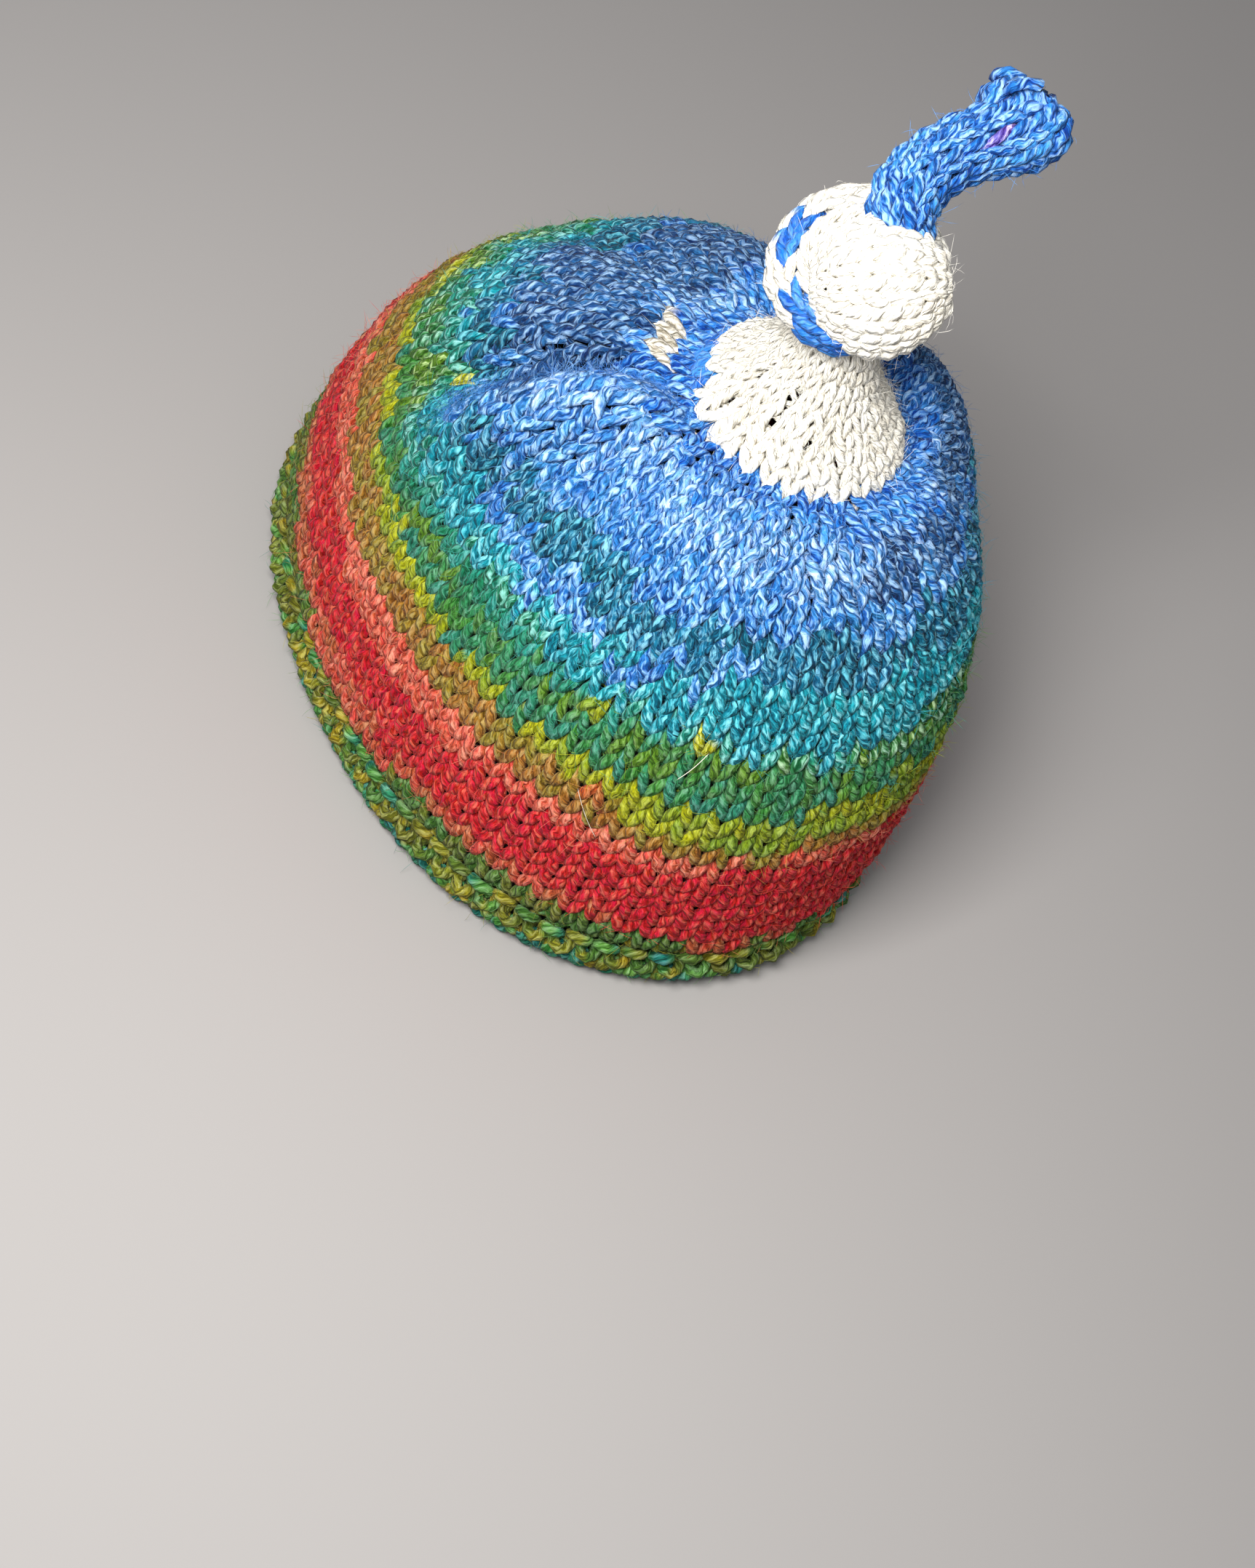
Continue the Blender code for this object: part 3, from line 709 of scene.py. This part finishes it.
def fibre_piece(name, line, outward, colours, girth, finish, slot, *nodes):
    """One mesh of pointed tubes of three sides, each along a line of a few points: a ring of
    three across the line's direction at each inner point, and a cap of three at each end."""
    count = line.shape[1]
    heading = np.gradient(line, axis=0)
    heading /= np.linalg.norm(heading, axis=2, keepdims=True)
    beside = np.cross(heading, outward)
    beside /= np.linalg.norm(beside, axis=2, keepdims=True)
    above = np.cross(beside, heading)
    turn = np.arange(3)[:, None] * 2 * np.pi / 3
    ring = np.cos(turn) * beside[1:-1, :, None] + np.sin(turn) * above[1:-1, :, None]
    tubes = (line[1:-1, :, None] + girth * ring).transpose(1, 0, 2, 3).reshape(count, -1, 3)
    points = np.concatenate([line[0][:, None], tubes, line[-1][:, None]], axis=1)
    each = points.shape[1]
    near, far = np.arange(3), (np.arange(3) + 1) % 3
    quads = np.concatenate([
        np.stack([base + near, base + far, base + 3 + far, base + 3 + near], axis=1)
        for base in range(1, each - 4, 3)
    ])
    caps = np.concatenate([
        np.stack([np.zeros(3, int), 1 + far, 1 + near], axis=1),
        np.stack([np.full(3, each - 1), each - 4 + near, each - 4 + far], axis=1),
    ])
    first = each * np.arange(count)[:, None, None]
    corners = np.concatenate([(quads + first).ravel(), (caps + first).ravel()])
    walls = len(quads) * count
    starts = np.concatenate([np.arange(walls) * 4, walls * 4 + np.arange(6 * count) * 3])
    colours = np.repeat(colours, each, axis=0)
    mesh = new_mesh(name, points.reshape(-1, 3), corners, starts, colours)
    dress(mesh, finish, slot, *nodes)


LEG_PART = 0.55  # size of the cosine of t below which a point lies in a stitch's leg
in_leg = np.abs(np.cos(2 * np.pi * np.arange(STITCH_POINTS) / STITCH_POINTS)) < LEG_PART
FIBRE_REACH = (0.0014, 0.0038)  # metres
FIBRE_RADIUS = 0.000036  # metres
FIBRE_STATIONS = (0, 0.35, 0.75, 1)  # shares of a fibre's reach
FIBRE_ROOT = 0.8  # of the yarn's radius
FIBRE_RISE = 0.9  # share of the reach that a straight fibre would stand up
FIBRE_CURL = 0.75  # share of that rise that it curls back
FIBRE_BEND = 0.55  # share of the reach that it bends aside
FIBRE_TILT = 0.3  # how far its section faces aside as well as outwards
# below 1 the fibres are paler than the yarn: partly the paleness of fine fibres, partly a painted sheen
FIBRE_PALENESS = 0.75  # power of the dye
# above 1 the fibres on a fold's ridge are darker: painted shade
RIDGE_PAINTED_SHADE_POWER = 1.1  # the same on a fold's ridge
RIDGE_REACH = 0.0022  # metres from a fold's ridge within which its wool is rubbed up


def loose_fibres(name, runs, count, finish, slot, *nodes, ridge=None):
    """Fine fibres that stand out of the yarn's legs: each leaves the yarn outwards and to one
    side, straight at first, then curls back and bends with the square of the way along it. Their
    colour is the yarn's dye made paler, partly as fine fibres are and partly as a painted sheen.
    Where a ridge's points are given, the fibres crowd in a bell round it, and their dye is made
    darker instead, a painted shade."""
    choose = np.random.default_rng(len(runs) + count)
    rings = np.concatenate([tube for tube, _, _ in runs])
    colours = np.concatenate([colour for _, _, colour in runs])
    middle = rings.mean(axis=1)
    proud = np.flatnonzero(in_leg[np.arange(len(rings)) % STITCH_POINTS])
    crowd = np.ones(len(proud))
    if ridge is not None:
        away = np.linalg.norm(middle[proud][:, None] - ridge, axis=2).min(axis=1)
        crowd = np.exp(-((away / RIDGE_REACH) ** 2))
    picked = choose.choice(proud, count, p=crowd / crowd.sum())
    side = choose.integers(-2, 3, count) % YARN_SIDES
    root = middle[picked] + FIBRE_ROOT * (rings[picked, side] - middle[picked])
    outward = rings[picked, 0] - middle[picked]
    outward /= np.linalg.norm(outward, axis=1, keepdims=True)
    spread = choose.normal(size=(2, count, 3))
    along = spread[0] - outward * (spread[0] * outward).sum(axis=1, keepdims=True)
    along /= np.linalg.norm(along, axis=1, keepdims=True)
    reach = choose.uniform(*FIBRE_REACH, (count, 1))
    steps = np.array(FIBRE_STATIONS)[:, None, None]
    rise = outward * FIBRE_RISE * steps * (1 - FIBRE_CURL * steps)
    line = root + reach * (along * steps + rise) + FIBRE_BEND * spread[1] * reach * steps**2
    line[..., 2] = np.maximum(line[..., 2], FIBRE_RADIUS)  # none goes through the floor
    # paler fibres, partly painted sheen; on a fold's ridge darker, a painted shade
    shade = colours[picked] ** (FIBRE_PALENESS if ridge is None else RIDGE_PAINTED_SHADE_POWER)
    facing = outward + FIBRE_TILT * along
    fibre_piece(name, line, facing, shade, FIBRE_RADIUS, finish, slot, *nodes)


# round, stitch width in metres that the rounds from there on are kept above
STITCH_WIDTHS = (
    (0, 0.0062),
    (16, 0.0062),
    (23, 0.0059),
    (30, 0.0056),
    (34, 0.0042),
    (38, 0.0031),
    (42, 0.0031),
)
EVEN_ROUND = 15  # up to here each round has all the stitches
LAST_ROUND = 42  # inside the knot
PURLED = (2,)
FOOT_ROUND = 0.42  # where the first round of loops hangs in the cast-on edge
ROUND_YARN = 2.3  # metres of yarn from one round to the next

hat_counts = [STITCHES]
for number in range(1, LAST_ROUND + 1):
    radius = smooth(profile, np.array(float(number)))[0]
    count = round(2 * np.pi * radius / np.interp(number, *np.transpose(STITCH_WIDTHS)))
    hat_counts.append(min(hat_counts[-1], count) if number > EVEN_ROUND else STITCHES)
hat_angles, hat_above = lay_wales(hat_counts)


def hat_rounds(low, high):
    """The yarn runs of the hat's rounds from low up to but without high."""
    runs = []
    for number in range(low, high):
        points, normals, turn, thickness = stitch_round(
            hat,
            number,
            hat_angles[number],
            hat_above[number],
            hat_angles[number + 1],
            purl=number in PURLED,
            purl_above=number + 1 in PURLED,
            foot=FOOT_ROUND if number == 0 else None,
        )
        tube, length = yarn_tube(points, normals, thickness)
        runs.append((tube, length, hat_dye(number, turn, length[:-1] + number * ROUND_YARN)))
    return runs


COIL_ROUND = 0.46
COIL_REACH = 0.17  # rounds
COIL_DEPTH = 0.0009  # metres
COIL_RADIUS = 0.0011


def edge_coil():
    """The cast-on edge: a line that coils once round itself in each stitch of the first round,
    its round by the sine of the coil and its depth by the cosine."""
    turn = np.arange(STITCHES * STITCH_POINTS) * 2 * np.pi / (STITCHES * STITCH_POINTS)
    coil = turn * STITCHES
    at = COIL_ROUND + COIL_REACH * np.sin(coil)
    points, normals = hat(at, turn, YARN_DEPTH - COIL_DEPTH * np.cos(coil))
    tube, length = yarn_tube(points, normals, np.ones(len(turn)), COIL_RADIUS)
    return tube, length, patched_dye("teal")(0, turn, length[:-1])


BEAD_DYES = ("teal", "leaf", "mustard", "olive")
BEAD_RUN = 0.008  # metres of yarn
BEAD_SPREAD, BEAD_START, BEAD_RISE = 4.6, -1.0, 0.7  # places in the list, the last for each round


def ridge_dye(number, along):
    """Teal, green and mustard in short runs, so that the beads of the ridge differ, with more
    teal at the foot and more mustard above."""
    level = BEAD_SPREAD * wander(along, BEAD_RUN, seed=21 + number)
    level = level + BEAD_START + BEAD_RISE * number
    which = np.clip(level, 0, len(BEAD_DYES) - 1).round().astype(int)
    first, second = (np.array([DYES[name][part] for name in BEAD_DYES])[which] for part in (0, 1))
    return shaded(first, second, along)


BRIM_FIBRES = 1500
edge_finish = yarn_finish("edge_yarn", pale=0.3, gaps=0.8, sheen=0.04)
fuzz_finish = fibre_finish("loose_wool")
brim_runs = [edge_coil()]
for number, (tube, length, _) in enumerate(hat_rounds(0, 3)):
    brim_runs.append((tube, length, ridge_dye(number, length[:-1])))
yarn_piece("brim_edge_yarn", brim_runs, edge_finish, "edge_yarn", "brim_edge")
loose_fibres("brim_edge_fibres", brim_runs[1:], BRIM_FIBRES, fuzz_finish, "edge_yarn", "brim_edge")

# Striped side
# The hat's side, thirteen rounds of plain stitches in one yarn whose dye changes slowly from
# coral and red through tan and lime to green. It grows out of the brim, loop through loop.
SIDE_FIBRES = 10500
side_finish = yarn_finish("striped_yarn", pale=0.25, gaps=0.9, sheen=0.04)
on_side = ("striped_yarn", "striped_side")
side_lower, side_upper = hat_rounds(3, 10), hat_rounds(10, 16)
yarn_piece("side_yarn_lower", side_lower, side_finish, *on_side)
yarn_piece("side_yarn_upper", side_upper, side_finish, *on_side)
loose_fibres("side_fibres", side_lower + side_upper, SIDE_FIBRES, fuzz_finish, *on_side)

# rounds and degrees round the hat of the two ends of each long pale hair that lies on the side
HAIRS = ((11.7, 9.6, 232.0, 238.5), (16.3, 14.4, 246.0, 243.5))
HAIR_RADIUS = 0.00008  # metres
HAIR_HEIGHT, HAIR_ARCH = 0.0008, 0.0006  # metres over the fabric at its ends, and more in its middle
HAIR_COLOUR = (0.85, 0.80, 0.68)
HAIR_STATIONS = 12
share = np.linspace(0, 1, HAIR_STATIONS)[:, None]
first_round, last_round, first_degrees, last_degrees = np.transpose(HAIRS)
hair_at = first_round + (last_round - first_round) * share
hair_turn = np.radians(first_degrees + (last_degrees - first_degrees) * share)
hair_line, hair_normal = hat(hair_at, hair_turn, -(HAIR_HEIGHT + HAIR_ARCH * np.sin(np.pi * share)))
hair_colours = np.tile(HAIR_COLOUR, (len(HAIRS), 1))
fibre_piece("side_hairs", hair_line, hair_normal, hair_colours, HAIR_RADIUS, fuzz_finish, *on_side)

# Blue crown
# The crown narrows by stitches knitted together, and sinks in folds beside the stem. Its blue
# wool is flecked with undyed fibres, which show on the ply tops partly as a painted highlight,
# and rubbed up along the ridge of its deepest fold, whose fibres are darkened as painted shade.
CROWN_FIBRES = 9500
crown_finish = yarn_finish("blue_yarn", pale=0.9, gaps=0.95, sheen=0.04)
on_crown = ("blue_yarn", "blue_crown")
crown_lower, crown_upper = hat_rounds(16, 23), hat_rounds(23, 30)
yarn_piece("crown_yarn_lower", crown_lower, crown_finish, *on_crown)
yarn_piece("crown_yarn_upper", crown_upper, crown_finish, *on_crown)
loose_fibres("crown_fibres", crown_lower + crown_upper, CROWN_FIBRES, fuzz_finish, *on_crown)

FOLD_RIDGE = ((18, 165), (28, 173))  # round, degrees round the hat
RIDGE_STATIONS = 30
FOLD_FIBRES = 1700
ridge_at = np.linspace(FOLD_RIDGE[0][0], FOLD_RIDGE[1][0], RIDGE_STATIONS)
ridge_turn = np.radians(np.interp(ridge_at, *np.transpose(FOLD_RIDGE)))
ridge_line = hat(ridge_at, ridge_turn, 0.0)[0]
crown_runs = crown_lower + crown_upper
# the fibres along the ridge are darkened: painted shade
loose_fibres("fold_fibres", crown_runs, FOLD_FIBRES, fuzz_finish, *on_crown, ridge=ridge_line)

# White stem
# The gathered top of the hat: undyed yarn drawn in from the crown to a narrow neck under the
# knot, with small eyelets where stitches are knitted together.
STEM_FIBRES = 1400
white_finish = yarn_finish("white_yarn", pale=0.3, gaps=0.35, sheen=0.05)
stem_runs = hat_rounds(30, 38)
yarn_piece("stem_yarn", stem_runs, white_finish, "white_yarn", "white_stem")
loose_fibres("stem_fibres", stem_runs, STEM_FIBRES, fuzz_finish, "white_yarn", "white_stem")

# Top knot
# The top of the stem is a knitted cord of undyed and blue wool, tied in an overhand knot. Its
# turn shows as a loop at the left, and its fat front as a ball.
CORD_RADIUS = 0.0074
CORD_STITCHES = 8
CORD_ROUND_YARN = 0.3  # metres of yarn from one round to the next
LOOP_WIDTH, LOOP_HEIGHT = 0.0118, 0.0108
LOOP_ROUNDS = 13
LOOP_SPAN = (285, -40)  # degrees round the loop of its two ends
LOOP_TWIST = -0.3  # radians that the loop's stitches are turned outwards
LOOP_GIRTH = 1.12  # thickness of its yarn
# degrees round the loop, cord radii out of the knot's middle
LOOP_TURN = (
    (-40, -1.20),
    (0, -0.90),
    (45, -0.45),
    (90, -0.25),
    (135, -0.10),
    (180, 0.05),
    (225, 0.20),
    (285, 0.30),
)
# round, first and last degrees round the cord
LOOP_PATCHES = ((0, 240, 455), (1, 240, 455), (2, 298, 343), (4, 290, 345), (5, 290, 345))
knot_middle = np.array([
    CROWN_LEAN[0] + KNOT_LEAN[0],
    CROWN_LEAN[1] + KNOT_LEAN[1],
    DOME_HEIGHT + STEM_HEIGHT + KNOT_RISE,
])


def in_knot(across, up, out):
    """Points given in metres along the knot's own axes."""
    return knot_middle + np.stack([across, up, out], axis=-1) @ view_axes.T


def tube_form(line, radii, back):
    """A form round a line of points: a circle of the given radius across the line's direction.
    The turn starts away from the back direction."""
    along = np.gradient(line, axis=0)
    along /= np.linalg.norm(along, axis=1, keepdims=True)
    front = -back - along * (along @ -back)[:, None]
    front /= np.linalg.norm(front, axis=1, keepdims=True)
    beside = np.cross(along, front)
    table = np.column_stack([np.arange(len(line)) - 1, line, front, beside, radii])

    def form(at, turn):
        middle, to_front, to_side, radius = np.split(smooth(table, at), (3, 6, 9), axis=-1)
        across = np.cos(turn)[..., None] * to_front + np.sin(turn)[..., None] * to_side
        return middle + radius * across

    return form


def cord_runs(form, rounds, stitches, dye, twist=0.0, girth=1.0):
    """Yarn runs of a knitted cord of that many rounds and stitches under a form's face, turned
    by a twist. The girth makes its yarn thicker."""

    def face(at, turn, depth):
        normal = face_normal(form, at, turn)
        return form(at, turn) + normal * -np.asarray(depth)[..., None], normal

    angles, above = lay_wales([stitches] * (rounds + 1))
    angles = [angle + twist for angle in angles]
    runs = []
    for number in range(rounds):
        points, normals, turn, thickness = stitch_round(
            face, number, angles[number], above[number], angles[number + 1]
        )
        tube, length = yarn_tube(points, normals, thickness, YARN_RADIUS * girth)
        runs.append((tube, length, dye(number, turn, length[:-1] + number * CORD_ROUND_YARN)))
    return runs


loop_degrees = np.linspace(*LOOP_SPAN, LOOP_ROUNDS + 3)
loop_line = in_knot(
    LOOP_WIDTH * np.cos(np.radians(loop_degrees)),
    LOOP_HEIGHT * np.sin(np.radians(loop_degrees)),
    CORD_RADIUS * smooth(LOOP_TURN, loop_degrees)[:, 0],
)
loop_form = tube_form(loop_line, np.full(len(loop_line), CORD_RADIUS), -view_axes[:, 2])
loop_dye = patched_dye("cream", "blue", LOOP_PATCHES)
loop_runs = cord_runs(loop_form, LOOP_ROUNDS, CORD_STITCHES, loop_dye, LOOP_TWIST, LOOP_GIRTH)
yarn_piece("knot_loop_yarn", loop_runs, white_finish, "white_yarn", "top_knot")

LOBE_SIZE = (0.0152, 0.0142, 0.0118)  # across, up, out
LOBE_PLACE = (0.45, -0.60, 0.80)  # in cord radii
LOBE_ROUNDS = 10
LOBE_STITCHES = 14
LOBE_GIRTH = 1.3
LOBE_POLE = 0.07  # share of the way from pole to pole that is left open at each
lobe_middle = in_knot(*(CORD_RADIUS * np.array(LOBE_PLACE)))


def lobe_form(at, turn):
    """An egg whose poles lie across the knot: the round gives the angle from pole to pole, whose
    cosine goes across and whose sine spreads up and out."""
    angle = np.pi * (LOBE_POLE + (1 - 2 * LOBE_POLE) * at / LOBE_ROUNDS)
    wide, high, deep = LOBE_SIZE
    across = -wide * np.cos(angle)
    up = high * np.sin(angle) * np.sin(turn)
    out = deep * np.sin(angle) * np.cos(turn)
    return lobe_middle + np.stack([across, -up, out], axis=-1) @ view_axes.T


KNOT_FIBRES = 500
ball_runs = cord_runs(lobe_form, LOBE_ROUNDS, LOBE_STITCHES, patched_dye("cream"), girth=LOBE_GIRTH)
yarn_piece("knot_ball_yarn", ball_runs, white_finish, "white_yarn", "top_knot")
yarn_piece("knot_neck_yarn", hat_rounds(38, 41), white_finish, "white_yarn", "top_knot")
loose_fibres("knot_fibres", loop_runs + ball_runs, KNOT_FIBRES, fuzz_finish, "white_yarn", "top_knot")

# Blue tail
# The free end of the knitted cord, blue again with one rose stitch. It stands out of the knot by
# its own stiffness and flares a little where its last stitches are cast off.
TAIL_LENGTH = 0.040
TAIL_RADIUS = 0.0076
TAIL_ROUNDS = 10
TAIL_GIRTH = 1.12
TAIL_FIBRES = 400
ROSE_STITCH = (6, 0, 24)  # round, first and last degrees round the cord
# across, up and out in shares of the tail's length, girth
TAIL_ROUTE = (
    (0.205, 0.020, -0.06, 0.86),
    (0.185, 0.140, 0.12, 0.90),
    (0.190, 0.250, 0.19, 0.94),
    (0.225, 0.350, 0.19, 0.96),
    (0.310, 0.462, 0.165, 0.96),
    (0.455, 0.565, 0.125, 0.95),
    (0.600, 0.628, 0.10, 0.98),
    (0.725, 0.675, 0.08, 1.06),
    (0.820, 0.720, 0.06, 1.14),
    (0.870, 0.752, 0.04, 1.20),
    (0.860, 0.770, 0.03, 1.22),
)
stations = np.column_stack([np.arange(len(TAIL_ROUTE)), TAIL_ROUTE])
tail_shape = smooth(stations, np.linspace(0, len(TAIL_ROUTE) - 1, TAIL_ROUNDS + 3))
tail_line = in_knot(*(TAIL_LENGTH * tail_shape[:, :3].T))
tail_form = tube_form(tail_line, TAIL_RADIUS * tail_shape[:, 3], -view_axes[:, 2])
tail_dye = patched_dye("blue", "rose", (ROSE_STITCH,))
tail_runs = cord_runs(tail_form, TAIL_ROUNDS, CORD_STITCHES, tail_dye, girth=TAIL_GIRTH)
yarn_piece("tail_yarn", tail_runs, crown_finish, "blue_yarn", "blue_tail")
loose_fibres("tail_fibres", tail_runs, TAIL_FIBRES, fuzz_finish, "blue_yarn", "blue_tail")
